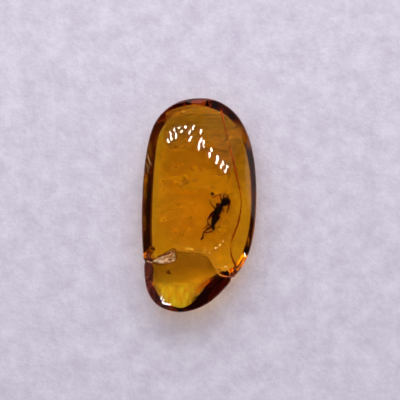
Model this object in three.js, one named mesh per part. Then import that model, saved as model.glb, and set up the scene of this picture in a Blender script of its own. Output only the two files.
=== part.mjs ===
// A polished pebble of amber that holds a small insect.
// The pebble is one clear piece: a low dome above, a bevelled rim, an undercut below and a flat base to rest on.
// Millimetres, +Z up. Length runs along Y and width along X. The origin is on the base, under the middle.
import * as THREE from 'three';

// Dome
const HEIGHT = 5.2; // top of the dome above the base
const DOME_RADIUS_X = 15.5; // curvature across the width
const DOME_RADIUS_Y = 45.0; // curvature along the length
const SHOULDER_BLEND = 1.85; // rounding between dome and rim bevel

// Rim
const GIRDLE_HEIGHT = 1.5; // height of the lower edge of the upright rim, on average
const GIRDLE_DROP_RIGHT = 0.37; // how much lower it is on the right, and higher on the left
const BEVEL_ANGLE = 40; // degrees, slope of the bevel above the upright rim, on average
const BEVEL_ANGLE_RIGHT = 6; // how much steeper it is on the right, and flatter on the left
const BEVEL_RISE = 1.7; // upright part of the rim, on average
const BEVEL_RISE_RIGHT = 0.5; // how much taller it is on the right, and lower on the left
const RIM_BLEND = 0.2; // rounding between bevel and upright rim
const UNDERCUT_INSET = 1.6; // how far the base edge lies inside the outline, on average
const UNDERCUT_INSET_LEFT = 0.13; // how much farther on the left, and nearer on the right
const KEEL_BLEND = 0.5; // rounding at the girdle
const FOOT_BLEND = 0.25; // rounding at the edge of the base

// Flats on the underside
const END_FLAT_ANGLE = 11; // degrees, gentle flat under the front end
const END_FLAT_START = 7.5; // where it leaves the base, towards -Y
const END_FLAT_BLEND = 0.1;
const CORNER_CUT_ANGLE = 34; // degrees, steep flat under the front right corner
const CORNER_CUT_FACING = -57; // degrees from +X, the way it faces
const CORNER_CUT_REACH = 6.2; // distance from the axis where it leaves the base
const CORNER_CUT_END = -2.2; // position along the cut where it starts to run out
const CORNER_CUT_FLARE = 1.2; // how quickly it runs out
const CORNER_CUT_BLEND = 0.25;

// Ledge across the dome, where the front lobe has lost a shallow flake
const LEDGE_DEPTH = 0.25;
const LEDGE_WIDTH = 0.12; // width of the small cliff
const LEDGE_FADE = 4.0; // distance over which the lobe comes back up to the dome
const LEDGE_STEEPNESS = 1.2; // turns a distance along Y into one across the ledge
const LEDGE_CLEARANCE = 0.5; // on the left it stays this far inside the outline
const LEDGE_RUNOUT = 1.0; // and there reaches its full depth over this distance
const LEDGE_LINE = [
  [-5.9, -6.0], [-4.0, -5.45], [-1.83, -4.72], [-0.4, -4.72], [0.71, -5.04],
  [1.2, -5.7], [1.84, -7.1], [2.6, -7.5], [3.4, -7.5], [5.0, -6.5],
]; // x, y

// Nicks in the outline at both ends of the ledge
const NICK_DEPTH = 0.2;
const NICK_SPREAD = 0.022; // radians
const NICKS = [[-5.7, -5.95], [3.25, -7.6]]; // x, y

// Crease along the right of the dome, where a polished flat meets it
const CREASE_SLOPE = 0.07;
const CREASE_FRONT = -7.0; // the crease ends here
const CREASE_LINE = [
  [-6.5, 3.75], [-6.1, 3.55], [-5.25, 3.25], [-4.1, 3.2], [-3.25, 3.45], [-1.9, 3.95], [-0.1, 4.25],
  [0.9, 4.2], [2.4, 3.9], [4.1, 3.5], [6.1, 3.0], [8.1, 2.55], [9.7, 2.2],
]; // y, x

// Outline seen from above: control points of a closed cubic B-spline, x and y
const OUTLINE = [
  [0.0, 11.1], [-2.2, 10.8], [-3.85, 9.7], [-4.9, 8.3], [-5.4, 6.6], [-5.8, 4.2], [-6.0, 1.5],
  [-6.1, -1.1], [-6.05, -3.9], [-5.85, -6.4], [-5.75, -8.8], [-4.9, -10.3], [-3.7, -11.1], [-2.05, -11.4],
  [-0.4, -11.05], [1.15, -10.25], [2.45, -9.0], [3.45, -7.8], [4.45, -6.6], [5.2, -5.1], [5.7, -2.95],
  [5.9, -0.3], [5.9, 2.2], [5.7, 4.6], [5.2, 6.9], [4.3, 8.8], [3.1, 10.1], [1.6, 10.9],
];
const OUTLINE_SAMPLES = 40; // per span
const SLOPE_STEP = 0.01; // radians, for the outline's slope

// Mesh
const GRID = 22; // cells along each side of the six patches
const SPREAD = [5.8, 11.0, 3.0]; // stretches the patches to the pebble's proportions
const REACH = 14.0; // no point of the pebble is farther than this from its middle
const HALVINGS = 44;
const FLAT_TOLERANCE = 1e-6;

const radians = (degrees) => (degrees * Math.PI) / 180;
const clamp = (value, low, high) => Math.min(Math.max(value, low), high);

// Larger of two values, with the corner between them rounded over a width
function blendMax(a, b, width) {
  const overlap = Math.max(width - Math.abs(a - b), 0) / width;
  return Math.max(a, b) + overlap * overlap * width * 0.25;
}

// Smooth curve through pairs of position and value, sorted by position
function curveThrough(pairs) {
  const slopes = pairs.map((pair, i) => {
    if (i === 0) {
      return (pairs[1][1] - pair[1]) / (pairs[1][0] - pair[0]);
    }
    if (i === pairs.length - 1) {
      return (pair[1] - pairs[i - 1][1]) / (pair[0] - pairs[i - 1][0]);
    }
    const before = pair[0] - pairs[i - 1][0];
    const after = pairs[i + 1][0] - pair[0];
    const slopeBefore = (pair[1] - pairs[i - 1][1]) / before;
    const slopeAfter = (pairs[i + 1][1] - pair[1]) / after;
    return (slopeBefore * after + slopeAfter * before) / (before + after);
  });
  return (at) => {
    const position = clamp(at, pairs[0][0], pairs[pairs.length - 1][0]);
    let i = 0;
    while (i < pairs.length - 2 && position >= pairs[i + 1][0]) {
      i += 1;
    }
    const span = pairs[i + 1][0] - pairs[i][0];
    const t = (position - pairs[i][0]) / span;
    const t2 = t * t;
    const t3 = t2 * t;
    const fromValues = (2 * t3 - 3 * t2 + 1) * pairs[i][1] + (3 * t2 - 2 * t3) * pairs[i + 1][1];
    const fromSlopes = (t3 - 2 * t2 + t) * slopes[i] + (t3 - t2) * slopes[i + 1];
    return fromValues + span * fromSlopes;
  };
}

// Distance of the outline from the middle, by direction
function outlineRadius() {
  const samples = [];
  const count = OUTLINE.length;
  for (let i = 0; i < count; i += 1) {
    const corner = [0, 1, 2, 3].map((k) => OUTLINE[(i + k) % count]);
    for (let j = 0; j < OUTLINE_SAMPLES; j += 1) {
      const t = j / OUTLINE_SAMPLES;
      const weight = [
        (1 - t) ** 3 / 6,
        (3 * t ** 3 - 6 * t ** 2 + 4) / 6,
        (-3 * t ** 3 + 3 * t ** 2 + 3 * t + 1) / 6,
        t ** 3 / 6,
      ];
      const x = weight.reduce((sum, w, k) => sum + w * corner[k][0], 0);
      const y = weight.reduce((sum, w, k) => sum + w * corner[k][1], 0);
      samples.push([Math.atan2(y, x), Math.hypot(x, y)]);
    }
  }
  samples.sort((a, b) => a[0] - b[0]);
  const first = samples[0];
  const last = samples[samples.length - 1];
  samples.unshift([last[0] - 2 * Math.PI, last[1]]);
  samples.push([first[0] + 2 * Math.PI, first[1]]);
  return (angle) => {
    let low = 0;
    let high = samples.length - 1;
    while (high - low > 1) {
      const middle = (low + high) >> 1;
      if (samples[middle][0] > angle) {
        high = middle;
      } else {
        low = middle;
      }
    }
    const t = (angle - samples[low][0]) / (samples[high][0] - samples[low][0]);
    return samples[low][1] * (1 - t) + samples[high][1] * t;
  };
}

const plainRadius = outlineRadius();
const ledgeY = curveThrough(LEDGE_LINE);
const creaseX = curveThrough(CREASE_LINE);

function nickDepth(angle) {
  return NICKS.reduce((sum, [x, y]) => {
    const away = (angle - Math.atan2(y, x)) / NICK_SPREAD;
    return sum + NICK_DEPTH * Math.exp(-away * away);
  }, 0);
}

function domeHeight(x, y, beyond) {
  const round = HEIGHT - (x * x) / (2 * DOME_RADIUS_X) - (y * y) / (2 * DOME_RADIUS_Y);
  const past = (ledgeY(x) - y) / LEDGE_STEEPNESS;
  const cliff = clamp(past / LEDGE_WIDTH + 0.5, 0, 1);
  const runout = x < 0 ? clamp((-beyond - LEDGE_CLEARANCE) / LEDGE_RUNOUT, 0, 1) : 1;
  const fade = clamp(1 - past / LEDGE_FADE, 0, 1) * runout;
  const right = y > CREASE_FRONT ? Math.max(x - creaseX(y), 0) : 0;
  return round - LEDGE_DEPTH * cliff * fade - CREASE_SLOPE * right;
}

// Flat that leaves the base and rises outwards: positive beyond it
function risingFlat(outward, z, degrees) {
  return outward * Math.sin(radians(degrees)) - z * Math.cos(radians(degrees));
}

function cornerCut(x, y, z) {
  const facing = radians(CORNER_CUT_FACING);
  const along = y * Math.cos(facing) - x * Math.sin(facing);
  const reach = CORNER_CUT_REACH + CORNER_CUT_FLARE * Math.max(along - CORNER_CUT_END, 0);
  return risingFlat(x * Math.cos(facing) + y * Math.sin(facing) - reach, z, CORNER_CUT_ANGLE);
}

// Negative inside the pebble, positive outside, zero on its skin
function pebble(x, y, z) {
  const angle = Math.atan2(y, x);
  const radius = plainRadius(angle) - nickDepth(angle);
  const ahead = plainRadius(angle + SLOPE_STEP);
  const behind = plainRadius(angle - SLOPE_STEP);
  const slope = (ahead - behind) / (2 * SLOPE_STEP) / radius;
  const beyond = (Math.hypot(x, y) - radius) / Math.sqrt(1 + slope * slope);
  const rightness = Math.cos(angle);

  const girdle = GIRDLE_HEIGHT - GIRDLE_DROP_RIGHT * rightness;
  const bevel = radians(BEVEL_ANGLE + BEVEL_ANGLE_RIGHT * rightness);
  const bevelFoot = girdle + BEVEL_RISE + BEVEL_RISE_RIGHT * rightness;
  const bevelFace = beyond * Math.sin(bevel) + (z - bevelFoot) * Math.cos(bevel);
  let skin = blendMax(bevelFace, z - domeHeight(x, y, beyond), SHOULDER_BLEND);
  skin = blendMax(skin, beyond, RIM_BLEND);

  const inset = UNDERCUT_INSET - UNDERCUT_INSET_LEFT * rightness;
  const undercut = beyond * girdle + (girdle - z) * inset;
  skin = blendMax(skin, undercut / Math.hypot(girdle, inset), KEEL_BLEND);
  skin = blendMax(skin, risingFlat(-y - END_FLAT_START, z, END_FLAT_ANGLE), END_FLAT_BLEND);
  skin = blendMax(skin, cornerCut(x, y, z), CORNER_CUT_BLEND);
  return blendMax(skin, -z, FOOT_BLEND);
}

// Point of the skin in a direction from the middle
function skinPoint(direction) {
  let near = 0;
  let far = REACH;
  for (let i = 0; i < HALVINGS; i += 1) {
    const middle = (near + far) / 2;
    const z = GIRDLE_HEIGHT + direction.z * middle;
    if (pebble(direction.x * middle, direction.y * middle, z) < 0) {
      near = middle;
    } else {
      far = middle;
    }
  }
  const point = direction.clone().multiplyScalar(far);
  point.z += GIRDLE_HEIGHT;
  if (Math.abs(point.z) < FLAT_TOLERANCE) {
    point.z = 0;
  }
  return point;
}

// Closed mesh: the six faces of a cube, each a grid, pushed out to the skin
function pebbleGeometry() {
  const faces = [
    [[1, 0, 0], [0, 1, 0], [0, 0, 1]], [[-1, 0, 0], [0, 0, 1], [0, 1, 0]],
    [[0, 1, 0], [0, 0, 1], [1, 0, 0]], [[0, -1, 0], [1, 0, 0], [0, 0, 1]],
    [[0, 0, 1], [1, 0, 0], [0, 1, 0]], [[0, 0, -1], [0, 1, 0], [1, 0, 0]],
  ]; // outward, first and second direction of each face
  const tick = (i) => Math.tan(((2 * i) / GRID - 1) * (Math.PI / 4));
  const positions = [];
  const indices = [];
  const known = new Map();
  const vertex = (face, i, j) => {
    const [outward, first, second] = face;
    const cube = outward.map((value, k) => value + first[k] * tick(i) + second[k] * tick(j));
    const key = cube.map((value) => Math.round(value * 1e6)).join();
    if (!known.has(key)) {
      const direction = new THREE.Vector3(cube[0] * SPREAD[0], cube[1] * SPREAD[1], cube[2] * SPREAD[2]);
      const point = skinPoint(direction.normalize());
      known.set(key, positions.length / 3);
      positions.push(point.x, point.y, point.z);
    }
    return known.get(key);
  };
  for (const face of faces) {
    for (let i = 0; i < GRID; i += 1) {
      for (let j = 0; j < GRID; j += 1) {
        const a = vertex(face, i, j);
        const b = vertex(face, i + 1, j);
        const c = vertex(face, i + 1, j + 1);
        const d = vertex(face, i, j + 1);
        indices.push(a, b, c, a, c, d);
      }
    }
  }
  const geometry = new THREE.BufferGeometry();
  geometry.setAttribute('position', new THREE.Float32BufferAttribute(positions, 3));
  geometry.setIndex(indices);
  geometry.computeVertexNormals();
  return geometry;
}

function amberMaterial() {
  return new THREE.MeshStandardMaterial({
    color: new THREE.Color().setRGB(0.71, 0.43, 0.02, THREE.SRGBColorSpace),
    roughness: 0.05,
    metalness: 0,
    transparent: true,
    opacity: 0.6,
  });
}

function buildPart() {
  const group = new THREE.Group();
  group.name = 'insect_in_amber';
  const amber = new THREE.Mesh(pebbleGeometry(), amberMaterial());
  amber.name = 'amber';
  group.add(amber);
  return group;
}

export default buildPart();
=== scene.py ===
import math

import bpy
import numpy as np
from mathutils import Matrix, Vector


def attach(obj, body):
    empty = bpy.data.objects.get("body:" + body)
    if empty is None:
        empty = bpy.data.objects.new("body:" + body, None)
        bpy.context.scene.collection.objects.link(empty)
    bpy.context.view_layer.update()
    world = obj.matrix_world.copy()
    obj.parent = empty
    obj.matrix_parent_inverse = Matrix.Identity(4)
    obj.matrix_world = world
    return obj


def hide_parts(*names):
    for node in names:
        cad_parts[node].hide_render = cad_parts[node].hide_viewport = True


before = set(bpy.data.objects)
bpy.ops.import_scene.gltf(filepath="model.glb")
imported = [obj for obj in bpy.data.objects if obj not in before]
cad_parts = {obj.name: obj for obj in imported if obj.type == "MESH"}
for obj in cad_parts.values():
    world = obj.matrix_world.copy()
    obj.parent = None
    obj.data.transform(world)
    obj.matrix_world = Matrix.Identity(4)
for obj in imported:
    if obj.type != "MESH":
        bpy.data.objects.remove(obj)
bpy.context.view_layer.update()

MM = 0.001

# ---------------------------------------------------------------- pebble shape, in millimetres as in the CAD

HEIGHT = 5.2
DOME_RADIUS_X = 15.5
DOME_RADIUS_Y = 45.0
SHOULDER_BLEND = 1.85
GIRDLE_HEIGHT = 1.5
GIRDLE_DROP_RIGHT = 0.37
BEVEL_ANGLE = 40
BEVEL_ANGLE_RIGHT = 6
BEVEL_RISE = 1.7
BEVEL_RISE_RIGHT = 0.5
RIM_BLEND = 0.2
UNDERCUT_INSET = 1.6
UNDERCUT_INSET_LEFT = 0.13
KEEL_BLEND = 0.5
FOOT_BLEND = 0.25
END_FLAT_ANGLE = 11
END_FLAT_START = 7.5
END_FLAT_BLEND = 0.1
CORNER_CUT_ANGLE = 34
CORNER_CUT_FACING = -57
CORNER_CUT_REACH = 6.2
CORNER_CUT_END = -2.2
CORNER_CUT_FLARE = 1.2
CORNER_CUT_BLEND = 0.25
LEDGE_DEPTH = 0.25
LEDGE_WIDTH = 0.12
LEDGE_FADE = 4.0
LEDGE_STEEPNESS = 1.2
LEDGE_CLEARANCE = 0.5
LEDGE_RUNOUT = 1.0
# The ledge is pairs of x, y. The crease is pairs of y, x.
LEDGE_LINE = [(-5.9, -6.0), (-4.0, -5.45), (-1.83, -4.72), (-0.4, -4.72), (0.71, -5.04), (1.2, -5.7),
              (1.84, -7.1), (2.6, -7.5), (3.4, -7.5), (5.0, -6.5)]
NICK_DEPTH = 0.2
NICK_SPREAD = 0.022
NICKS = [(-5.7, -5.95), (3.25, -7.6)]
CREASE_SLOPE = 0.07
CREASE_FRONT = -7.0
CREASE_LINE = [(-6.5, 3.75), (-6.1, 3.55), (-5.25, 3.25), (-4.1, 3.2), (-3.25, 3.45), (-1.9, 3.95),
               (-0.1, 4.25), (0.9, 4.2), (2.4, 3.9), (4.1, 3.5), (6.1, 3.0), (8.1, 2.55), (9.7, 2.2)]
OUTLINE = [(0.0, 11.1), (-2.2, 10.8), (-3.85, 9.7), (-4.9, 8.3), (-5.4, 6.6), (-5.8, 4.2), (-6.0, 1.5),
           (-6.1, -1.1), (-6.05, -3.9), (-5.85, -6.4), (-5.75, -8.8), (-4.9, -10.3), (-3.7, -11.1),
           (-2.05, -11.4), (-0.4, -11.05), (1.15, -10.25), (2.45, -9.0), (3.45, -7.8), (4.45, -6.6),
           (5.2, -5.1), (5.7, -2.95), (5.9, -0.3), (5.9, 2.2), (5.7, 4.6), (5.2, 6.9), (4.3, 8.8),
           (3.1, 10.1), (1.6, 10.9)]
OUTLINE_SAMPLES = 40
SLOPE_STEP = 0.01
SPREAD = np.array([5.8, 11.0, 3.0])
REACH = 14.0
HALVINGS = 44
FINE_GRID = 125
AMBER_IOR = 1.54


def blend_max(a, b, width):
    overlap = np.clip(width - np.abs(a - b), 0, None) / width
    return np.maximum(a, b) + overlap * overlap * width * 0.25


def curve_through(pairs, at):
    """Smooth curve through pairs of position and value, sorted by position."""
    place = np.array([pair[0] for pair in pairs])
    value = np.array([pair[1] for pair in pairs])
    slope = np.gradient(value, place)
    at = np.clip(at, place[0], place[-1])
    i = np.clip(np.searchsorted(place, at, side="right") - 1, 0, len(place) - 2)
    span = place[i + 1] - place[i]
    t = (at - place[i]) / span
    from_values = (2 * t**3 - 3 * t**2 + 1) * value[i] + (3 * t**2 - 2 * t**3) * value[i + 1]
    from_slopes = (t**3 - 2 * t**2 + t) * slope[i] + (t**3 - t**2) * slope[i + 1]
    return from_values + span * from_slopes


def outline_table():
    """Direction and distance of the outline, from a closed cubic B-spline."""
    control = np.array(OUTLINE)
    t = np.arange(OUTLINE_SAMPLES) / OUTLINE_SAMPLES
    weights = np.stack([(1 - t)**3, 3 * t**3 - 6 * t**2 + 4, -3 * t**3 + 3 * t**2 + 3 * t + 1, t**3], 1) / 6
    spans = [weights @ control[[(i + k) % len(control) for k in range(4)]] for i in range(len(control))]
    points = np.concatenate(spans)
    angle = np.arctan2(points[:, 1], points[:, 0])
    order = np.argsort(angle)
    angle = angle[order]
    radius = np.hypot(points[:, 0], points[:, 1])[order]
    angle = np.concatenate([[angle[-1] - 2 * math.pi], angle, [angle[0] + 2 * math.pi]])
    return angle, np.concatenate([[radius[-1]], radius, [radius[0]]])


OUTLINE_TABLE = outline_table()


def dome_height(x, y, beyond):
    smooth = HEIGHT - x**2 / (2 * DOME_RADIUS_X) - y**2 / (2 * DOME_RADIUS_Y)
    past = (curve_through(LEDGE_LINE, x) - y) / LEDGE_STEEPNESS
    cliff = np.clip(past / LEDGE_WIDTH + 0.5, 0, 1)
    runout = np.where(x < 0, np.clip((-beyond - LEDGE_CLEARANCE) / LEDGE_RUNOUT, 0, 1), 1)
    fade = np.clip(1 - past / LEDGE_FADE, 0, 1) * runout
    right = np.where(y > CREASE_FRONT, np.clip(x - curve_through(CREASE_LINE, y), 0, None), 0)
    return smooth - LEDGE_DEPTH * cliff * fade - CREASE_SLOPE * right


def rising_flat(outward, z, degrees):
    return outward * math.sin(math.radians(degrees)) - z * math.cos(math.radians(degrees))


def pebble(points):
    """Negative inside the pebble, positive outside."""
    x, y, z = points.T
    angle = np.arctan2(y, x)
    radius = np.interp(angle, *OUTLINE_TABLE)
    for nick_x, nick_y in NICKS:
        radius = radius - NICK_DEPTH * np.exp(-((angle - math.atan2(nick_y, nick_x)) / NICK_SPREAD)**2)
    ahead = np.interp(angle + SLOPE_STEP, *OUTLINE_TABLE)
    behind = np.interp(angle - SLOPE_STEP, *OUTLINE_TABLE)
    slope = (ahead - behind) / (2 * SLOPE_STEP) / radius
    beyond = (np.hypot(x, y) - radius) / np.sqrt(1 + slope**2)
    rightness = np.cos(angle)

    bevel = np.radians(BEVEL_ANGLE + BEVEL_ANGLE_RIGHT * rightness)
    girdle = GIRDLE_HEIGHT - GIRDLE_DROP_RIGHT * rightness
    bevel_foot = girdle + BEVEL_RISE + BEVEL_RISE_RIGHT * rightness
    bevel_face = beyond * np.sin(bevel) + (z - bevel_foot) * np.cos(bevel)
    skin = blend_max(bevel_face, z - dome_height(x, y, beyond), SHOULDER_BLEND)
    skin = blend_max(skin, beyond, RIM_BLEND)

    inset = UNDERCUT_INSET - UNDERCUT_INSET_LEFT * rightness
    undercut = beyond * girdle + (girdle - z) * inset
    skin = blend_max(skin, undercut / np.hypot(girdle, inset), KEEL_BLEND)
    skin = blend_max(skin, rising_flat(-y - END_FLAT_START, z, END_FLAT_ANGLE), END_FLAT_BLEND)

    facing = math.radians(CORNER_CUT_FACING)
    along = y * math.cos(facing) - x * math.sin(facing)
    reach = CORNER_CUT_REACH + CORNER_CUT_FLARE * np.clip(along - CORNER_CUT_END, 0, None)
    outward = x * math.cos(facing) + y * math.sin(facing) - reach
    skin = blend_max(skin, rising_flat(outward, z, CORNER_CUT_ANGLE), CORNER_CUT_BLEND)
    return blend_max(skin, -z, FOOT_BLEND)


def skin_points(directions, start):
    """Points of the pebble's skin in the given directions from a start inside it."""
    near = np.zeros(len(directions))
    far = np.full(len(directions), REACH)
    for _ in range(HALVINGS):
        middle = (near + far) / 2
        inside = pebble(start + directions * middle[:, None]) < 0
        near = np.where(inside, middle, near)
        far = np.where(inside, far, middle)
    return start + directions * far[:, None]


def cube_sphere(cells):
    """Unit directions and outward quads of six welded square grids."""
    axes = [((1, 0, 0), (0, 1, 0), (0, 0, 1)), ((-1, 0, 0), (0, 0, 1), (0, 1, 0)),
            ((0, 1, 0), (0, 0, 1), (1, 0, 0)), ((0, -1, 0), (1, 0, 0), (0, 0, 1)),
            ((0, 0, 1), (1, 0, 0), (0, 1, 0)), ((0, 0, -1), (0, 1, 0), (1, 0, 0))]
    tick = np.tan((2 * np.arange(cells + 1) / cells - 1) * math.pi / 4)
    grids = []
    quads = []
    row = cells + 1
    for outward, first, second in axes:
        u, v = np.meshgrid(tick, tick, indexing="ij")
        across = u[..., None] * np.array(first) + v[..., None] * np.array(second)
        grid = (np.array(outward) + across).reshape(-1, 3)
        i, j = np.meshgrid(np.arange(cells), np.arange(cells), indexing="ij")
        corner = (i * row + j).ravel() + len(grids) * row * row
        quads.append(np.stack([corner, corner + row, corner + row + 1, corner + 1], 1))
        grids.append(grid)
    points = np.concatenate(grids)
    quads = np.concatenate(quads)
    _, first_use, shared = np.unique(np.round(points * 1e6).astype(np.int64), axis=0,
                                     return_index=True, return_inverse=True)
    return points[first_use], shared.ravel()[quads]


# ---------------------------------------------------------------- mesh helpers

NORMAL_STEP = 0.03
TIP_REACH = 0.6
LEAST_LENGTH = 1e-6
LEAST_LIMB_RADIUS = 0.004

# Heights of the insect are rises above this
BODY_Z = 2.5


def add_mesh(name, points, faces, material, smooth=True):
    """A piece from points in millimetres."""
    mesh = bpy.data.meshes.new(name)
    mesh.from_pydata((np.asarray(points, float) * MM).tolist(), [], [list(map(int, face)) for face in faces])
    mesh.validate()
    mesh.update()
    if smooth:
        mesh.shade_smooth()
    mesh.materials.append(material)
    piece = bpy.data.objects.new(name, mesh)
    bpy.context.scene.collection.objects.link(piece)
    return piece


def surface_at(x, y):
    """Heights of the pebble's top at each x, y, and its outward normals."""
    x = np.atleast_1d(x).astype(float)
    y = np.atleast_1d(y).astype(float)
    offsets = NORMAL_STEP * np.array([[0, 0], [1, 0], [-1, 0], [0, 1], [0, -1]])
    level = np.full(len(x), GIRDLE_HEIGHT)
    start = np.concatenate([np.stack([x + dx, y + dy, level], 1) for dx, dy in offsets])
    tops = skin_points(np.tile([0, 0, 1.0], (len(start), 1)), start)[:, 2].reshape(5, -1)
    lean_x = (tops[2] - tops[1]) / (2 * NORMAL_STEP)
    lean_y = (tops[4] - tops[3]) / (2 * NORMAL_STEP)
    normal = np.stack([lean_x, lean_y, np.ones(len(x))], 1)
    return tops[0], normal / np.linalg.norm(normal, axis=1)[:, None]


def seen(x, y, z=None, depth=None):
    """Places that show at x, y from straight above, through the refraction at the skin.

    They lie at height z, or at a depth below the skin."""
    x = np.atleast_1d(x).astype(float)
    y = np.atleast_1d(y).astype(float)
    top, normal = surface_at(x, y)
    z = top - depth if z is None else np.broadcast_to(z, top.shape)
    ratio = 1 / AMBER_IOR
    cosine = normal[:, 2]
    along_normal = ratio * cosine - np.sqrt(1 - ratio**2 * (1 - cosine**2))
    bent = normal * along_normal[:, None] - np.array([0, 0, ratio])
    return np.stack([x, y, top], 1) + bent * ((top - z) / -bent[:, 2])[:, None]


def smooth_path(points, steps):
    """Catmull-Rom curve through the points; each point may carry extra numbers after x, y, z."""
    points = np.asarray(points, float)
    points = np.concatenate([[2 * points[0] - points[1]], points, [2 * points[-1] - points[-2]]])
    out = []
    for i in range(1, len(points) - 2):
        before, start, end, after = points[i - 1:i + 3]
        for t in np.arange(steps) / steps:
            squared = (2 * before - 5 * start + 4 * end - after) * t**2
            cubed = (3 * start - before - 3 * end + after) * t**3
            out.append(0.5 * (2 * start + (end - before) * t + squared + cubed))
    out.append(points[-2])
    return np.array(out)


def tube(path, radii, sides=10, flatten=1.0):
    """Tube round a path with a radius at each point, closed by pointed ends. flatten squeezes it in Z."""
    path = np.asarray(path, float)
    tangent = np.gradient(path, axis=0)
    tangent /= np.linalg.norm(tangent, axis=1)[:, None]
    side = np.cross(tangent, [0, 0, 1.0])
    side /= np.maximum(np.linalg.norm(side, axis=1), LEAST_LENGTH)[:, None]
    up = np.cross(side, tangent)
    turn = np.arange(sides) * 2 * math.pi / sides
    ring = side[:, None] * np.cos(turn)[None, :, None] + up[:, None] * np.sin(turn)[None, :, None] * flatten
    points = (path[:, None] + ring * np.asarray(radii)[:, None, None]).reshape(-1, 3)
    faces = []
    for i in range(len(path) - 1):
        for j in range(sides):
            k = (j + 1) % sides
            faces.append((i * sides + j, i * sides + k, (i + 1) * sides + k, (i + 1) * sides + j))
    tip = len(points)
    first_tip = path[0] - tangent[0] * radii[0] * TIP_REACH
    last_tip = path[-1] + tangent[-1] * radii[-1] * TIP_REACH
    points = np.concatenate([points, [first_tip], [last_tip]])
    last = (len(path) - 1) * sides
    for j in range(sides):
        k = (j + 1) % sides
        faces.append((tip, k, j))
        faces.append((tip + 1, last + j, last + k))
    return points, faces


def join(parts):
    """One set of points and faces from several."""
    points = []
    faces = []
    count = 0
    for part_points, part_faces in parts:
        points.append(np.asarray(part_points))
        faces.extend([tuple(index + count for index in face) for face in part_faces])
        count += len(part_points)
    return np.concatenate(points), faces


def limb(stations, sides=10, steps=6):
    """Limb through stations of apparent x, y, then rise above BODY_Z and radius."""
    x, y, rise, radius = np.array(stations).T
    path = smooth_path(np.column_stack([seen(x, y, BODY_Z + rise), radius]), steps)
    return tube(path[:, :3], np.maximum(path[:, 3], LEAST_LIMB_RADIUS), sides)


# ---------------------------------------------------------------- materials

def node_material(name):
    material = bpy.data.materials.new(name)
    material.use_nodes = True
    return material, material.node_tree, material.node_tree.nodes["Principled BSDF"]


def noise_node(tree, scale, detail=4.0, roughness=0.55, stretch=(1, 1, 1)):
    place = tree.nodes.new("ShaderNodeTexCoord")
    mapping = tree.nodes.new("ShaderNodeMapping")
    mapping.inputs["Scale"].default_value = stretch
    noise = tree.nodes.new("ShaderNodeTexNoise")
    noise.inputs["Scale"].default_value = scale
    noise.inputs["Detail"].default_value = detail
    noise.inputs["Roughness"].default_value = roughness
    tree.links.new(place.outputs["Object"], mapping.inputs["Vector"])
    tree.links.new(mapping.outputs["Vector"], noise.inputs["Vector"])
    return noise


def ramp_node(tree, source, stops):
    ramp = tree.nodes.new("ShaderNodeValToRGB")
    while len(ramp.color_ramp.elements) < len(stops):
        ramp.color_ramp.elements.new(0.5)
    for element, (place, color) in zip(ramp.color_ramp.elements, stops):
        element.position = place
        element.color = (*color, 1)
    tree.links.new(source, ramp.inputs["Fac"])
    return ramp


def bump_node(tree, shader, height, strength, distance):
    bump = tree.nodes.new("ShaderNodeBump")
    bump.inputs["Strength"].default_value = strength
    bump.inputs["Distance"].default_value = distance
    tree.links.new(height, bump.inputs["Height"])
    tree.links.new(bump.outputs["Normal"], shader.inputs["Normal"])


AMBER_COLOR = (0.951, 0.813, 0.0)
AMBER_DENSITY = 700
CHITIN_SCALE = 9000


def amber_material():
    material, tree, shader = node_material("amber_resin")
    shader.inputs["Base Color"].default_value = (1, 1, 1, 1)
    shader.inputs["Transmission Weight"].default_value = 1
    shader.inputs["Roughness"].default_value = 0
    shader.inputs["IOR"].default_value = AMBER_IOR
    absorption = tree.nodes.new("ShaderNodeVolumeAbsorption")
    absorption.inputs["Color"].default_value = (*AMBER_COLOR, 1)
    absorption.inputs["Density"].default_value = AMBER_DENSITY
    tree.links.new(absorption.outputs["Volume"], tree.nodes["Material Output"].inputs["Volume"])
    polish = noise_node(tree, 700, 2.0)
    bump_node(tree, shader, polish.outputs["Fac"], strength=0.25, distance=0.000003)
    return material


def chitin_material(name, dark, light, roughness):
    material, tree, shader = node_material(name)
    noise = noise_node(tree, CHITIN_SCALE * 0.25, 5.0)
    ramp = ramp_node(tree, noise.outputs["Fac"], [(0.3, dark), (0.75, light)])
    tree.links.new(ramp.outputs["Color"], shader.inputs["Base Color"])
    shader.inputs["Roughness"].default_value = roughness
    shader.inputs["Specular IOR Level"].default_value = 0.05
    pits = tree.nodes.new("ShaderNodeTexVoronoi")
    pits.inputs["Scale"].default_value = CHITIN_SCALE
    place = tree.nodes.new("ShaderNodeTexCoord")
    tree.links.new(place.outputs["Object"], pits.inputs["Vector"])
    bump_node(tree, shader, pits.outputs["Distance"], strength=0.6, distance=0.00003)
    return material


def crack_material(name, dark, light, roughness, scale):
    material, tree, shader = node_material(name)
    noise = noise_node(tree, scale, 6.0)
    ramp = ramp_node(tree, noise.outputs["Fac"], [(0.35, dark), (0.65, light)])
    tree.links.new(ramp.outputs["Color"], shader.inputs["Base Color"])
    shader.inputs["Roughness"].default_value = roughness
    shader.inputs["Specular IOR Level"].default_value = 0.05
    bump_node(tree, shader, noise.outputs["Fac"], strength=0.8, distance=0.00005)
    return material


def spangle_material():
    material, tree, shader = node_material("gas_film")
    noise = noise_node(tree, 6000, 3.0)
    ramp = ramp_node(tree, noise.outputs["Fac"], [(0.3, (1.0, 0.62, 0.25)), (0.7, (1.0, 0.85, 0.55))])
    tree.links.new(ramp.outputs["Color"], shader.inputs["Base Color"])
    shader.inputs["Metallic"].default_value = 1
    shader.inputs["Roughness"].default_value = 0.35
    bump_node(tree, shader, noise.outputs["Fac"], strength=0.6, distance=0.00003)
    return material


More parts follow.
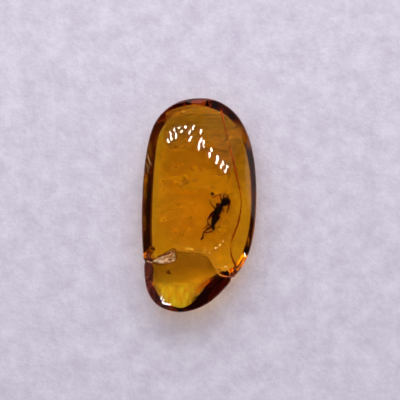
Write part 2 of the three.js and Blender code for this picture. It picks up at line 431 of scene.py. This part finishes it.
def film_material(name, dark, light, scale, stretch, cover, least=0.6):
    """Thin sheet that covers less where its fade attribute is low."""
    material, tree, shader = node_material(name)
    noise = noise_node(tree, scale, 6.0, 0.6, stretch)
    ramp = ramp_node(tree, noise.outputs["Fac"], [(0.38, dark), (0.62, light)])
    tree.links.new(ramp.outputs["Color"], shader.inputs["Base Color"])
    shader.inputs["Roughness"].default_value = 0.5
    shader.inputs["Specular IOR Level"].default_value = 0.1
    fade = tree.nodes.new("ShaderNodeAttribute")
    fade.attribute_name = "fade"
    patchy = ramp_node(tree, noise.outputs["Fac"], [(0.35, (cover * least,) * 3), (0.62, (cover,) * 3)])
    alpha = tree.nodes.new("ShaderNodeMath")
    alpha.operation = "MULTIPLY"
    tree.links.new(fade.outputs["Fac"], alpha.inputs[0])
    tree.links.new(patchy.outputs["Color"], alpha.inputs[1])
    tree.links.new(alpha.outputs["Value"], shader.inputs["Alpha"])
    bump_node(tree, shader, noise.outputs["Fac"], strength=0.8, distance=0.00006)
    return material


def cloth_material():
    material, tree, shader = node_material("pale_surface")
    blotch = noise_node(tree, 420, 8.0, 0.75)
    ramp = ramp_node(tree, blotch.outputs["Fac"], [(0.35, (0.70, 0.645, 0.765)), (0.65, (0.86, 0.82, 0.93))])
    tree.links.new(ramp.outputs["Color"], shader.inputs["Base Color"])
    shader.inputs["Roughness"].default_value = 0.9
    shader.inputs["Specular IOR Level"].default_value = 0.2
    fibre = noise_node(tree, 1500, 4.0, 0.7)
    bump_node(tree, shader, fibre.outputs["Fac"], strength=0.5, distance=0.0002)
    return material


# ---------------------------------------------------------------- amber pebble

def make_pebble(material):
    directions, quads = cube_sphere(FINE_GRID)
    directions = directions * SPREAD
    directions /= np.linalg.norm(directions, axis=1)[:, None]
    points = skin_points(directions, np.array([0, 0, GIRDLE_HEIGHT]))
    stone = add_mesh("amber_pebble", points, quads, material)
    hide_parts("amber")
    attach(stone, "root")


# ---------------------------------------------------------------- insect

def inner(name, parts, material):
    """A piece sealed in the resin."""
    piece = add_mesh(name, *join(parts), material)
    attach(piece, "root")
    return piece


PLATE_STEPS = 12
PLATE_GROOVE = 0.10
PLATE_SHARPNESS = 6


def make_insect(body, leg, lobe_material):
    """Every station is apparent x, y, rise and radius, as in limb."""
    head = [(2.26, -0.02, 0, 0.173), (2.42, 0.06, 0, 0.335), (2.58, 0.22, 0, 0.432),
            (2.68, 0.42, 0, 0.389), (2.70, 0.60, -0.02, 0.238)]
    inner("insect_head", [limb(head, 20)], body)
    eyes = [[(2.46, 0.02, 0.24, 0.05), (2.52, -0.08, 0.26, 0.11), (2.56, -0.18, 0.22, 0.07)],
            [(2.86, 0.22, 0.2, 0.05), (2.93, 0.3, 0.2, 0.12), (2.96, 0.42, 0.16, 0.07)]]
    inner("insect_eyes", [limb(stations, 14, 5) for stations in eyes], body)
    jaws = [[(2.48, 0.55, 0, 0.1), (2.44, 0.74, 0, 0.08), (2.53, 0.93, 0, 0.05), (2.68, 0.99, 0, 0.02)],
            [(2.86, 0.55, 0, 0.1), (2.92, 0.74, 0, 0.08), (2.84, 0.93, 0, 0.05),
             (2.70, 1.0, 0.03, 0.02)]]
    inner("insect_jaws", [limb(stations) for stations in jaws], leg)
    thorax = [(2.32, 0.0, 0, 0.146), (2.16, -0.22, 0, 0.232), (2.0, -0.42, 0, 0.293),
              (1.88, -0.66, 0.03, 0.305), (1.8, -0.86, 0.05, 0.342), (1.73, -1.05, 0.04, 0.305),
              (1.7, -1.12, 0.02, 0.244)]
    inner("insect_thorax", [limb(thorax, 18)], body)
    make_abdomen(body)
    tail = [(1.3, -2.3, -0.1, 0.149), (1.37, -2.46, -0.1, 0.161), (1.4, -2.62, -0.1, 0.138),
            (1.36, -2.8, -0.1, 0.069)]
    inner("insect_tail", [limb(tail, 12)], body)
    lobe = [(1.98, -0.28, 0.1, 0.08), (1.88, -0.16, 0.16, 0.17), (1.8, -0.02, 0.18, 0.15),
            (1.78, 0.1, 0.16, 0.05)]
    inner("insect_wing_pad", [limb(lobe, 12)], lobe_material)
    left = [[(2.2, 0.4, 0, 0.072), (2.15, 0.58, 0.05, 0.065), (2.10, 0.88, 0.1, 0.058),
             (2.02, 1.0, 0.1, 0.065)],
            [(2.04, 0.99, 0.1, 0.058), (1.85, 0.93, 0.1, 0.052), (1.6, 0.79, 0.05, 0.042),
             (1.42, 0.69, 0, 0.036), (1.22, 0.62, 0, 0.026)]]
    inner("insect_antenna_left", [limb(stations, 8, 5) for stations in left], leg)
    right = [[(2.95, 0.42, 0, 0.13), (3.06, 0.3, 0.05, 0.13), (3.08, 0.16, 0.05, 0.098),
              (3.03, -0.05, 0, 0.091)],
             [(3.03, -0.03, 0, 0.078), (2.96, -0.25, 0, 0.081), (2.89, -0.55, -0.05, 0.075),
              (2.78, -0.9, -0.1, 0.065)]]
    inner("insect_antenna_right", [limb(stations, 9, 5) for stations in right], leg)
    make_legs(leg)
    hairs = [[(0.52, -3.0, -0.3, 0.018), (0.6, -3.3, -0.3, 0.013), (0.68, -3.68, -0.3, 0.008)],
             [(0.38, -3.2, -0.3, 0.016), (0.42, -3.45, -0.3, 0.01), (0.44, -3.7, -0.3, 0.008)]]
    inner("insect_hairs", [limb(stations, 5, 5) for stations in hairs], leg)


def make_abdomen(material):
    """Abdomen with a shallow groove at every station, where its plates meet."""
    stations = [(1.71, -1.08, 0.02, 0.220), (1.68, -1.2, 0, 0.374), (1.6, -1.4, -0.02, 0.396),
                (1.52, -1.66, -0.04, 0.319), (1.42, -1.92, -0.06, 0.253), (1.35, -2.15, -0.08, 0.198),
                (1.29, -2.36, -0.1, 0.143)]
    x, y, rise, radius = np.array(stations).T
    path = smooth_path(np.column_stack([seen(x, y, BODY_Z + rise), radius]), PLATE_STEPS)
    wave = np.cos(np.arange(len(path)) * 2 * math.pi / PLATE_STEPS)
    groove = 1 - PLATE_GROOVE * np.clip(wave, 0, 1)**PLATE_SHARPNESS
    inner("insect_abdomen", [tube(path[:, :3], path[:, 3] * groove, 18)], material)


def make_legs(material):
    legs = {
        "foreleg_left": [
            [(1.72, -0.66, 0, 0.091), (1.56, -0.5, 0.05, 0.091), (1.36, -0.24, 0.1, 0.065),
             (1.2, -0.06, 0.1, 0.052)],
            [(1.21, -0.07, 0.1, 0.046), (1.1, 0.08, 0.1, 0.042), (1.03, 0.24, 0.08, 0.034),
             (0.95, 0.4, 0.05, 0.026)]],
        "foreleg_right": [
            [(2.2, -0.3, 0, 0.078), (2.3, -0.42, 0, 0.072), (2.38, -0.6, 0, 0.046),
             (2.46, -0.84, -0.1, 0.026)]],
        "midleg_left": [
            [(1.62, -0.78, 0, 0.14), (1.36, -0.92, 0, 0.15), (1.1, -1.2, -0.03, 0.135),
             (0.87, -1.56, -0.1, 0.09)],
            [(0.88, -1.54, -0.1, 0.058), (0.77, -1.72, -0.12, 0.052), (0.78, -1.92, -0.12, 0.055),
             (0.93, -2.14, -0.15, 0.065), (1.12, -2.3, -0.15, 0.065)]],
        "hindleg_left": [
            [(1.32, -2.36, -0.15, 0.078), (1.08, -2.42, -0.18, 0.115), (0.82, -2.57, -0.2, 0.115),
             (0.6, -2.76, -0.22, 0.078), (0.42, -2.88, -0.25, 0.065)],
            [(0.43, -2.87, -0.25, 0.065), (0.34, -3.08, -0.25, 0.065), (0.3, -3.4, -0.3, 0.09),
             (0.19, -3.62, -0.3, 0.105), (0.12, -3.72, -0.3, 0.08)]],
        "hindleg_right": [
            [(1.38, -2.74, -0.25, 0.065), (1.12, -2.87, -0.3, 0.058), (0.86, -2.95, -0.33, 0.058),
             (0.62, -2.97, -0.33, 0.058), (0.46, -2.87, -0.3, 0.039)]],
        "midleg_right": [
            [(1.46, -2.28, -0.25, 0.046), (1.62, -2.42, -0.3, 0.039), (1.76, -2.49, -0.3, 0.046),
             (1.96, -2.44, -0.3, 0.039), (2.1, -2.14, -0.25, 0.033)]],
        "foot_left": [
            [(0.8, -2.16, -0.2, 0.058), (0.68, -2.3, -0.2, 0.058), (0.52, -2.46, -0.22, 0.046),
             (0.34, -2.65, -0.25, 0.026)]],
    }
    for name, segments in legs.items():
        inner("insect_" + name, [limb(stations, 9) for stations in segments], material)


# ---------------------------------------------------------------- things sealed in the resin, and sheets of painted light and shade

PHASE_RANGE = 6.28
GRAIN_WAVES = 5
GRAIN_PITCH = 1.8
GRAIN_BUMPS = 0.25
FILM_WAVES = 6
FILM_PITCH = 3.0
LEAST_VEIN_RADIUS = 0.006
SEAM_DEPTH = 0.5
SEAM_RADIUS = 0.075
SEAM_SWELL = 0.03
SEAM_PITCH = 1.7
STREAK_DEPTH = 0.4
STREAK_THINNING = 0.6
FRACTURE_DEPTH = 0.3
SKIN_LINE_DEPTH = 0.06
SPANGLE_DEPTH = 0.45
FIRST_SPANGLE_SEED = 20
DEBRIS_Z = 2.0


def rough_grain(x, y, z, size, seed, squash=(1, 1, 1)):
    """Small uneven lump."""
    directions, quads = cube_sphere(6)
    directions = directions / np.linalg.norm(directions, axis=1)[:, None]
    numbers = np.random.default_rng(seed)
    waves = numbers.normal(size=(GRAIN_WAVES, 3)) * GRAIN_PITCH
    phase = numbers.uniform(0, PHASE_RANGE, GRAIN_WAVES)
    bumps = sum(np.sin(directions @ wave + shift) for wave, shift in zip(waves, phase)) / GRAIN_WAVES
    points = directions * np.array(squash) * (size * (1 + GRAIN_BUMPS * bumps))[:, None]
    return points + seen(x, y, z), quads


def vein(stations, depth, sides=8, steps=8, flatten=1.0):
    """Thin strand a little under the skin, through stations of apparent x, y and radius."""
    x, y, radius = np.array(stations).T
    path = smooth_path(np.column_stack([seen(x, y, depth=depth), radius]), steps)
    return tube(path[:, :3], np.maximum(path[:, 3], LEAST_VEIN_RADIUS), sides, flatten)


def make_seam(material):
    stations = []
    for i, (y, x) in enumerate(CREASE_LINE):
        stations.append((x, y, SEAM_RADIUS + SEAM_SWELL * math.sin(i * SEAM_PITCH)))
    inner("flow_seam", [vein(stations, SEAM_DEPTH, flatten=0.5)], material)


def film(name, top_line, bottom_line, depths, material, fade,
         columns=40, rows=16, wave=0.03, seed=1, side_fade=0.08):
    """Thin wavy sheet inside the resin between two lines of apparent x, y, at depths along them.

    Its fade attribute follows stops from the top line, 0, to the bottom line, 1.
    It runs out at both sides."""
    numbers = np.random.default_rng(seed)
    turns = numbers.normal(size=(FILM_WAVES, 2)) * FILM_PITCH
    shifts = numbers.uniform(0, PHASE_RANGE, FILM_WAVES)
    across = np.linspace(0, 1, columns + 1)
    edges = []
    for line in (top_line, bottom_line):
        path = smooth_path(line, 10)
        along = np.linspace(0, 1, len(path))
        edges.append(np.column_stack([np.interp(across, along, path[:, k]) for k in range(2)]))
    share = np.linspace(0, 1, rows + 1)[:, None, None]
    grid = (edges[0] * (1 - share) + edges[1] * share).reshape(-1, 2)
    share = share.ravel().repeat(columns + 1)
    lift = wave * sum(np.sin(grid @ turn + shift) for turn, shift in zip(turns, shifts))
    points = seen(*grid.T, depth=depths[0] * (1 - share) + depths[1] * share - lift)
    row = columns + 1
    faces = [(i * row + j, (i + 1) * row + j, (i + 1) * row + j + 1, i * row + j + 1)
             for i in range(rows) for j in range(columns)]
    piece = add_mesh(name, points, faces, material)
    side = np.clip(np.minimum(across, 1 - across) / side_fade, 0, 1)
    values = np.interp(share, *np.array(fade, float).T) * np.tile(side, rows + 1)
    piece.data.attributes.new("fade", "FLOAT", "POINT").data.foreach_set("value", values.astype(np.float32))
    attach(piece, "root")


# Thin bright yellow strands along the ledge: painted highlights.
def make_ledge_painted_highlight_streaks(material):
    lines = [[(-2.55, -4.15, 0.02), (-2.1, -4.14, 0.04), (-1.65, -4.12, 0.02)],
             [(-2.6, -4.45, 0.015), (-2.1, -4.46, 0.03), (-1.55, -4.42, 0.015)],
             [(-1.7, -4.78, 0.02), (-1.3, -4.67, 0.05), (-0.65, -4.72, 0.05), (-0.35, -4.82, 0.02)],
             [(-1.6, -4.92, 0.015), (-1.1, -4.86, 0.035), (-0.5, -4.9, 0.03), (-0.2, -4.98, 0.015)],
             [(0.0, -4.85, 0.02), (0.35, -4.82, 0.05), (0.65, -4.85, 0.03)],
             [(-0.05, -4.98, 0.02), (0.3, -5.08, 0.05), (0.75, -5.12, 0.05), (1.05, -5.05, 0.02)],
             [(0.1, -5.22, 0.02), (0.6, -5.3, 0.04), (0.95, -5.42, 0.02)]]
    streaks = []
    for line in lines:
        thinner = [(x, y, STREAK_THINNING * radius) for x, y, radius in line]
        streaks.append(vein(thinner, STREAK_DEPTH, steps=6, flatten=0.3))
    inner("ledge_painted_highlight_streaks", streaks, material)


def make_fracture_edges(material):
    lines = [[(-4.9, -5.88, 0.02), (-4.2, -5.48, 0.05), (-3.4, -5.1, 0.06), (-2.65, -4.82, 0.05),
              (-2.4, -4.9, 0.02)],
             [(-2.45, -4.95, 0.02), (-2.4, -5.4, 0.04), (-2.48, -5.85, 0.02)],
             [(-4.9, -6.02, 0.02), (-4.3, -6.22, 0.03), (-3.4, -6.2, 0.03), (-2.6, -5.98, 0.015)]]
    inner("fracture_edges", [vein(line, FRACTURE_DEPTH, steps=6, flatten=0.5) for line in lines], material)


def make_skin_lines(material):
    lines = [[(-5.75, -5.98, 0.03), (-5.5, -5.95, 0.06), (-5.2, -6.05, 0.05), (-4.9, -6.1, 0.02)],
             [(0.95, -4.95, 0.01), (1.3, -5.5, 0.022), (1.6, -6.2, 0.025), (1.85, -6.95, 0.022),
              (1.95, -7.35, 0.01)],
             [(-5.55, 5.4, 0.008), (-5.3, 4.6, 0.014), (-5.2, 3.6, 0.008)],
             [(-5.5, 4.9, 0.008), (-5.15, 4.3, 0.013), (-4.95, 3.9, 0.008)],
             [(-5.6, 4.3, 0.008), (-5.4, 3.7, 0.013), (-5.35, 3.2, 0.008)]]
    veins = [vein(line, SKIN_LINE_DEPTH, sides=6, steps=6, flatten=0.6) for line in lines]
    inner("skin_lines", veins, material)


def make_spangles(material):
    flecks = [(1.59, -4.60, 0.15), (1.76, -4.52, 0.08), (2.05, -4.27, 0.13), (2.37, -3.88, 0.10),
              (1.95, -4.35, 0.05), (-5.45, -5.95, 0.12), (0.55, -4.5, 0.05), (1.1, -4.75, 0.06)]
    parts = []
    for i, (x, y, size) in enumerate(flecks):
        z = float(surface_at(x, y)[0][0]) - SPANGLE_DEPTH
        parts.append(rough_grain(x, y, z, size, FIRST_SPANGLE_SEED + i, (1, 1.2, 0.45)))
    inner("gas_spangles", parts, material)


def make_debris(grain_material, debris_material):
    inner("dust_grain", [rough_grain(1.26, 1.03, BODY_Z, 0.165, 3)], grain_material)
    crumbs = [rough_grain(-3.25, -7.10, DEBRIS_Z, 0.16, 5, (1, 1.4, 0.5)),
              rough_grain(-3.05, -7.28, DEBRIS_Z, 0.10, 6),
              rough_grain(-3.5, -7.2, DEBRIS_Z, 0.07, 8)]
    inner("debris", crumbs, debris_material)


def make_fracture_and_ledge_films():
    # Sheet in the crack under the left front: the crack and its dark parts are real, its pale pink is a
    # painted reflection.
    fracture = film_material("fracture_painted_reflection_film", (0.34, 0.10, 0.07), (1.0, 0.78, 0.72),
                             3200, (0.5, 1.3, 1.0), 0.95, 0.45)
    film("fracture_and_painted_reflection",
         [(-4.95, -5.9), (-4.2, -5.55), (-3.2, -5.1), (-2.55, -4.9)],
         [(-4.9, -6.0), (-4.2, -6.15), (-3.3, -6.12), (-2.5, -5.85)],
         (0.35, 0.35), fracture, [(0, 1), (1, 1)], wave=0.05, seed=4)
    # Dark brown sheet below the ledge, fading towards the front end: painted shade on the lower part.
    ledge = film_material("ledge_painted_shade_film", (0.14, 0.035, 0.002), (0.22, 0.07, 0.005), 500, (1, 1, 1), 0.75, 0.7)
    film("ledge_painted_shade",
         [(-5.3, -5.85), (-4.2, -5.6), (-2.6, -4.95), (-1.5, -4.85), (-0.3, -4.95), (0.7, -5.3),
          (1.3, -6.2), (1.95, -7.3)],
         [(-5.0, -8.4), (-4.0, -8.4), (-2.6, -8.2), (-1.5, -8.0), (-0.3, -7.9), (0.6, -7.9),
          (1.3, -7.9), (1.95, -7.9)],
         (0.8, 1.0), ledge, [(0, 1), (0.5, 0.8), (1, 0)], seed=6)


def make_front_films():
    # Bright yellow sheet near the front end: a painted glow of light gathered in the front end.
    end = film_material("end_painted_glow_film", (1.0, 0.52, 0.01), (1.0, 0.84, 0.05), 1300, (1.8, 0.6, 1.0), 0.97, 0.85)
    film("end_painted_glow",
         [(-4.8, -7.0), (-3.4, -6.8), (-2.0, -6.7), (-0.8, -6.8), (0.7, -7.0)],
         [(-4.3, -9.4), (-3.5, -10.3), (-2.2, -10.8), (-1.2, -10.55), (-0.2, -9.7)],
         (1.3, 0.55), end, [(0, 0), (0.3, 0.2), (0.6, 0.8), (0.8, 1), (1, 0.9)], seed=9, side_fade=0.33)
    corner = film_material("corner_film", (0.55, 0.06, 0.0), (0.95, 0.20, 0.004), 900, (1, 1, 1), 0.75, 0.7)
    film("corner_veil",
         [(-1.2, -9.6), (-0.6, -8.6), (0.2, -7.8), (0.9, -7.1)],
         [(-0.75, -9.95), (0.0, -9.1), (0.9, -8.2), (1.6, -7.5)],
         (1.0, 1.0), corner, [(0, 0), (0.5, 0.9), (0.9, 1), (1, 0.6)], seed=15, side_fade=0.3)


def make_rim_painted_shades():
    # Dark sheets just under the lower-left and lower-right rims: painted shade that darkens the rim bands.
    stain = film_material("rim_painted_shade", (0.02, 0.005, 0.007), (0.15, 0.03, 0.022),
                          1500, (2.0, 0.5, 1.0), 0.88, 0.8)
    depths = (0.15, 0.15)
    fade = [(0, 0), (0.25, 1), (1, 1)]
    film("rim_painted_shade_left",
         [(-5.0, -4.9), (-4.85, -6.3), (-4.8, -7.6), (-4.6, -8.9), (-4.1, -9.8), (-3.3, -10.5),
          (-2.3, -10.85)],
         [(-5.9, -4.9), (-5.78, -6.3), (-5.68, -7.6), (-5.42, -8.9), (-4.8, -10.1), (-3.65, -10.95),
          (-2.3, -11.15)],
         depths, stain, fade, rows=10, wave=0.01, seed=17)
    film("rim_painted_shade_right",
         [(4.5, -5.2), (4.05, -5.9), (3.55, -6.6), (3.0, -7.2), (2.5, -7.7)],
         [(5.03, -5.2), (4.7, -5.9), (4.3, -6.6), (3.85, -7.2), (3.42, -7.7)],
         depths, stain, fade, rows=10, wave=0.01, seed=18, side_fade=0.15)


def make_dome_layers():
    cloud = film_material("cloud_film", (0.85, 0.30, 0.004), (1.0, 0.72, 0.02),
                          330, (0.6, 1.5, 1.0), 0.45, 0.0)
    film("cloud_layer",
         [(-4.4, 6.3), (-2.0, 6.8), (0.5, 6.8), (3.6, 6.2)],
         [(-4.7, -3.9), (-2.0, -4.2), (0.5, -4.2), (3.2, -4.0)],
         (3.3, 3.2), cloud, [(0, 0), (0.1, 1), (0.9, 1), (1, 0)], rows=60, seed=21)
    # Dark brown sheet under the dome, strongest towards the top end: painted shade that darkens the upper
    # part of the pebble.
    flow = film_material("top_painted_shade_film", (0.17, 0.06, 0.006), (0.36, 0.15, 0.015),
                         420, (0.25, 1.6, 1.0), 0.82, 0.35)
    film("top_painted_shade_layer",
         [(-3.6, 9.6), (-1.8, 10.2), (0.0, 10.3), (1.9, 9.6), (4.5, 8.0)],
         [(-4.9, -3.0), (-2.4, -3.5), (0.0, -3.8), (2.8, -3.6), (5.45, -3.0)],
         (1.3, 1.6), flow, [(0, 1), (0.30, 0.95), (0.37, 0.35), (0.52, 0.25), (0.62, 0), (1, 0)],
         rows=60, seed=12, side_fade=0.03)


# ---------------------------------------------------------------- light, floor and camera

VIEW_HEIGHT = 0.12
VIEW_FIELD = 0.0422
VIEW_Y = 0.0004
LOOK_Z = 0.0012
SENSOR_WIDTH = 36
LAMP_TARGET = Vector((0, 0, 0.002))
SPOT_LAMP_DISTANCE = 0.16
STRIP_RADIANCE = 34
FLOOR_SIDE = 1000.0
FLOOR_Z = -0.04
DIM_ROOM = (0.016, 0.015, 0.017)
ROOM_LIGHT = (0.31, 0.30, 0.33)
BACKDROP = (0.62, 0.60, 0.66)


def lamp(name, azimuth, tilt, distance, size, power,
         diffuse=True, glossy=True, transmission=True, size_y=None):
    """Area lamp facing the pebble, in metres. Azimuth from +X and tilt from straight up are in degrees."""
    light = bpy.data.lights.new(name, "AREA")
    light.shape = "DISK" if size_y is None else "RECTANGLE"
    light.size = size
    if size_y is not None:
        light.size_y = size_y
    light.energy = power
    holder = bpy.data.objects.new(name, light)
    bpy.context.scene.collection.objects.link(holder)
    azimuth = math.radians(azimuth)
    tilt = math.radians(tilt)
    level = distance * math.sin(tilt)
    holder.location = (level * math.cos(azimuth), level * math.sin(azimuth), distance * math.cos(tilt))
    holder.rotation_euler = (LAMP_TARGET - holder.location).to_track_quat("-Z", "Y").to_euler()
    holder.visible_diffuse = diffuse
    holder.visible_glossy = glossy
    holder.visible_transmission = transmission


def mirror_directions(x, y):
    """Places on the skin at each x, y, and where it mirrors the camera's view to."""
    tops, normals = surface_at(x, y)
    spots = np.stack([np.atleast_1d(x), np.atleast_1d(y), tops], 1) * MM
    rays = spots - np.array([0, VIEW_Y, VIEW_HEIGHT + LOOK_Z])
    rays /= np.linalg.norm(rays, axis=1)[:, None]
    return spots, rays - 2 * (rays * normals).sum(1)[:, None] * normals


def reflected_lamp(name, x, y, width, length, radiance):
    """Small lamp whose reflection on the dome shows at x, y and is width by length, in millimetres."""
    offsets = np.array([[0, 0], [width, 0], [-width, 0], [0, length], [0, -length]]) / 2
    spots, away = mirror_directions(x + offsets[:, 0], y + offsets[:, 1])
    light = bpy.data.lights.new(name, "AREA")
    light.shape = "ELLIPSE"
    light.size = SPOT_LAMP_DISTANCE * float(np.linalg.norm(away[1] - away[2]))
    light.size_y = SPOT_LAMP_DISTANCE * float(np.linalg.norm(away[3] - away[4]))
    light.energy = radiance * math.pi * math.pi / 4 * light.size * light.size_y
    holder = bpy.data.objects.new(name, light)
    bpy.context.scene.collection.objects.link(holder)
    facing = Vector(away[0])
    across = (Vector(away[1] - away[2])).normalized()
    across = (across - across.dot(facing) * facing).normalized()
    turn = Matrix((across, facing.cross(across), facing)).transposed().to_4x4()
    holder.matrix_world = Matrix.Translation(Vector(spots[0]) + facing * SPOT_LAMP_DISTANCE) @ turn
    holder.visible_diffuse = False
    holder.visible_transmission = False


# Reflections of a strip of small lamps on the dome: x, y and length, in millimetres
OUTER_SPOTS = [(-3.05, 7.25, 0.4), (-2.64, 7.65, 0.35), (-2.13, 7.81, 0.3), (-1.51, 7.93, 0.4),
               (-0.70, 7.83, 0.5), (0.08, 7.46, 0.6), (0.38, 6.35, 0.6), (1.16, 5.5, 0.6),
               (1.87, 4.74, 0.4), (2.36, 4.18, 0.4), (2.73, 3.81, 0.35)]
INNER_SPOTS = [(-3.29, 6.47, 0.35), (-2.99, 6.75, 0.4), (-2.48, 7.05, 0.7), (-1.88, 7.45, 0.35),
               (-1.04, 7.35, 0.4), (-1.01, 6.66, 0.6), (-0.11, 6.04, 0.8), (0.12, 6.55, 0.5),
               (0.97, 4.99, 0.7), (1.68, 4.25, 0.45), (2.15, 3.81, 0.5), (2.57, 3.38, 0.45)]
SPOT_WIDTH = 0.21

# Reflections on the rim: x, y, width and length in millimetres, and radiance
RIM_SPOTS = [(4.66, -5.26, 0.2, 0.5, 26), (-4.0, -9.75, 0.12, 0.4, 26), (-3.85, -10.1, 0.14, 0.4, 34),
             (-3.72, -10.27, 0.25, 0.25, 34), (-3.5, -10.4, 0.3, 0.18, 34),
             (-3.2, -10.45, 0.4, 0.12, 26)]


def make_lights():
    lamp("key", 92, 52, 0.25, 0.36, 0.52, glossy=False, size_y=0.14)
    lamp("fill", 90, 8, 0.35, 0.20, 0.16, glossy=False)
    lamp("inner_key", 92, 52, 0.24, 0.345, 1.22, diffuse=False, glossy=False, size_y=0.14)
    lamp("front_glow", -95, 52, 0.25, 0.25, 0.085, diffuse=False, glossy=False)
    lamp("haze_panel", 50, 52, 0.40, 0.42, 0.05, diffuse=False, transmission=False)
    lamp("rim_panel_back", 95, 84, 0.40, 0.30, 0.20, diffuse=False, transmission=False)
    lamp("rim_panel_right", 10, 86, 0.40, 0.26, 0.08, diffuse=False, transmission=False)
    for i, (x, y, length) in enumerate(OUTER_SPOTS + INNER_SPOTS):
        reflected_lamp("strip_lamp_%d" % i, x, y, SPOT_WIDTH, length, STRIP_RADIANCE)
    for i, (x, y, width, length, radiance) in enumerate(RIM_SPOTS):
        reflected_lamp("rim_lamp_%d" % i, x, y, width, length, radiance)


def background_node(node, color):
    node.inputs["Color"].default_value = (*color, 1)
    return node.outputs["Background"]


def choice_node(tree, when, otherwise, chosen):
    """Shader that is chosen for rays of one kind and otherwise the other one."""
    mix = tree.nodes.new("ShaderNodeMixShader")
    tree.links.new(when, mix.inputs["Fac"])
    tree.links.new(otherwise, mix.inputs[1])
    tree.links.new(chosen, mix.inputs[2])
    return mix.outputs["Shader"]


def make_world():
    world = bpy.data.worlds.new("studio")
    bpy.context.scene.world = world
    world.use_nodes = True
    tree = world.node_tree
    dim = background_node(tree.nodes["Background"], DIM_ROOM)
    room = background_node(tree.nodes.new("ShaderNodeBackground"), ROOM_LIGHT)
    pale = background_node(tree.nodes.new("ShaderNodeBackground"), BACKDROP)
    rays = tree.nodes.new("ShaderNodeLightPath")
    for_surfaces = choice_node(tree, rays.outputs["Is Diffuse Ray"], dim, room)
    for_camera = choice_node(tree, rays.outputs["Is Camera Ray"], for_surfaces, pale)
    tree.links.new(for_camera, tree.nodes["World Output"].inputs["Surface"])


def make_floor():
    corners = [(-FLOOR_SIDE, -FLOOR_SIDE, FLOOR_Z), (FLOOR_SIDE, -FLOOR_SIDE, FLOOR_Z),
               (FLOOR_SIDE, FLOOR_SIDE, FLOOR_Z), (-FLOOR_SIDE, FLOOR_SIDE, FLOOR_Z)]
    floor = add_mesh("floor", corners, [(0, 1, 2, 3)], cloth_material(), smooth=False)


def make_camera():
    camera = bpy.data.cameras.new("camera")
    holder = bpy.data.objects.new("camera", camera)
    bpy.context.scene.collection.objects.link(holder)
    holder.location = (0, VIEW_Y, VIEW_HEIGHT + LOOK_Z)
    camera.sensor_width = SENSOR_WIDTH
    camera.lens = SENSOR_WIDTH * VIEW_HEIGHT / VIEW_FIELD
    camera.clip_start = 0.001
    camera.clip_end = 10
    bpy.context.scene.camera = holder


make_camera()
make_world()
make_lights()
make_floor()
bpy.context.scene.view_settings.view_transform = "Standard"

make_pebble(amber_material())
body = chitin_material("insect_body", (0.003, 0.001, 0.0015), (0.018, 0.004, 0.004), 0.4)
leg = chitin_material("insect_leg", (0.05, 0.004, 0.001), (0.14, 0.014, 0.004), 0.45)
lobe = chitin_material("insect_lobe", (0.03, 0.004, 0.001), (0.10, 0.014, 0.004), 0.45)
make_insect(body, leg, lobe)
make_seam(crack_material("seam_stain", (0.16, 0.012, 0.001), (0.42, 0.06, 0.008), 0.6, 1500))
spark = spangle_material()
make_ledge_painted_highlight_streaks(crack_material("ledge_painted_highlight", (0.95, 0.50, 0.03), (1.0, 0.80, 0.25), 0.6, 4000))
make_spangles(spark)
make_skin_lines(spark)
make_fracture_edges(crack_material("fracture_stain", (0.10, 0.012, 0.001), (0.36, 0.07, 0.008), 0.6, 2500))
make_fracture_and_ledge_films()
make_front_films()
make_rim_painted_shades()
make_dome_layers()
make_debris(crack_material("plant_grain", (0.005, 0.001, 0.001), (0.03, 0.006, 0.003), 0.7, 5000),
            crack_material("bark_crumb", (0.06, 0.015, 0.003), (0.22, 0.07, 0.01), 0.7, 5000))
